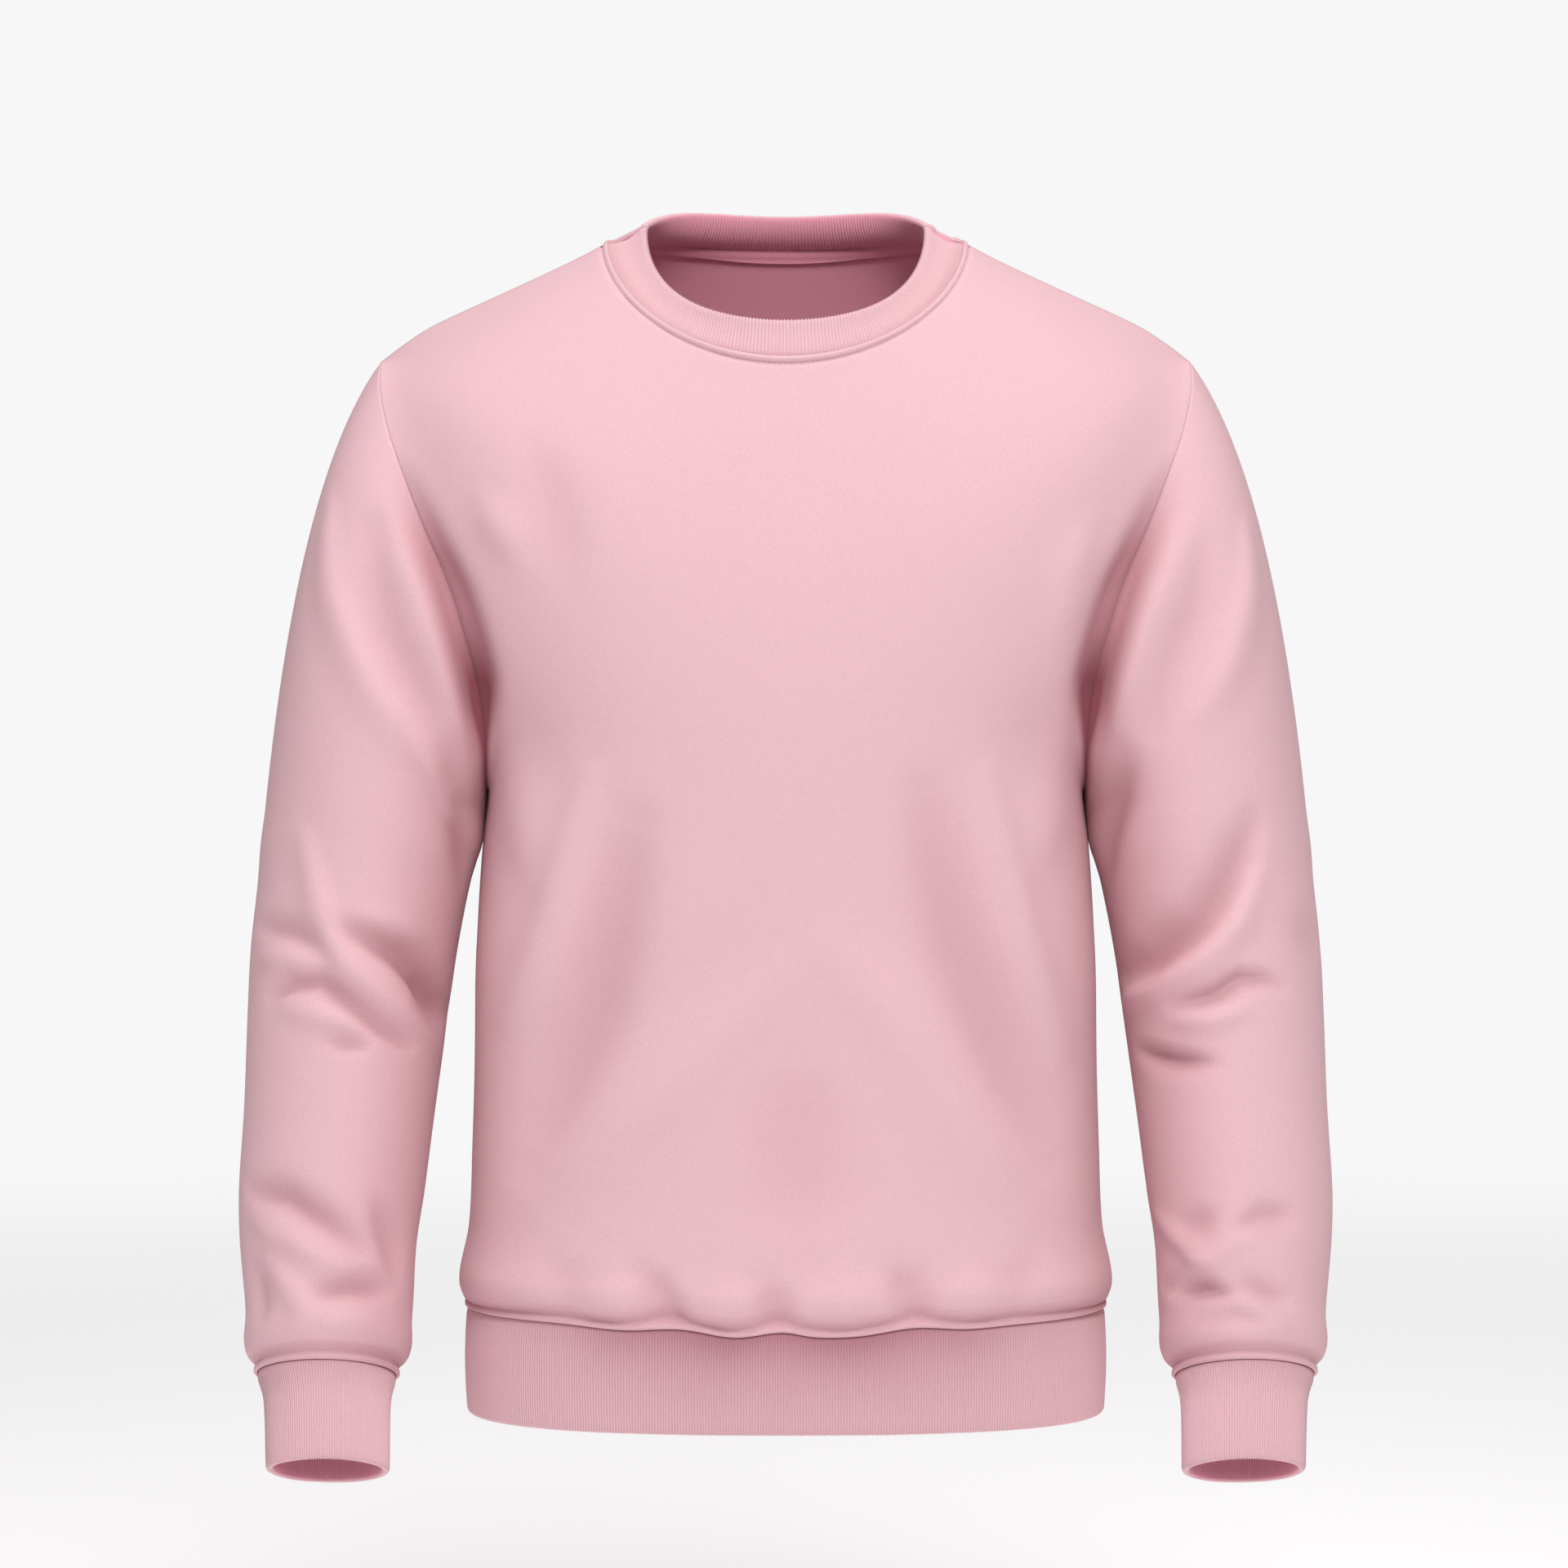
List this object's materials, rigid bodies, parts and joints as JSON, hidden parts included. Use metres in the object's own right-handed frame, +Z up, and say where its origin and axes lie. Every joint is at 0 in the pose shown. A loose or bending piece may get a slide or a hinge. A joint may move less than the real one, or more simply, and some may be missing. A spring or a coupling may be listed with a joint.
{
  "type": "crewneck sweatshirt, worn form with no wearer",
  "caption": "Long-sleeved crewneck sweatshirt in fleece knit, filled out as worn, with ribbed collar, cuffs and hem band, open at neck, hem and cuffs.",
  "frame": {"origin": "middle of the neck's base, level with the high points of the shoulders, where the wearer's shoulders and neck hold the garment", "axes": "+Z up towards the neck opening, -Y out of the front, +X towards the right of a front view"},
  "size_m": [0.6184, 0.2424, 0.729],
  "materials": {
    "fleece": "soft matt fleece-backed jersey knit, fine and slightly napped",
    "rib_knit": "fine vertical rib knit, matt",
    "tape": "self-colour knit tape, matt"
  },
  "bodies": {
    "root": {"front": "fleece", "back": "fleece", "sleeve_left": "fleece", "sleeve_right": "fleece", "collar": "rib_knit", "hem_band": "rib_knit", "cuff_left": "rib_knit", "cuff_right": "rib_knit", "neck_tape": "tape"}
  },
  "joints": []
}
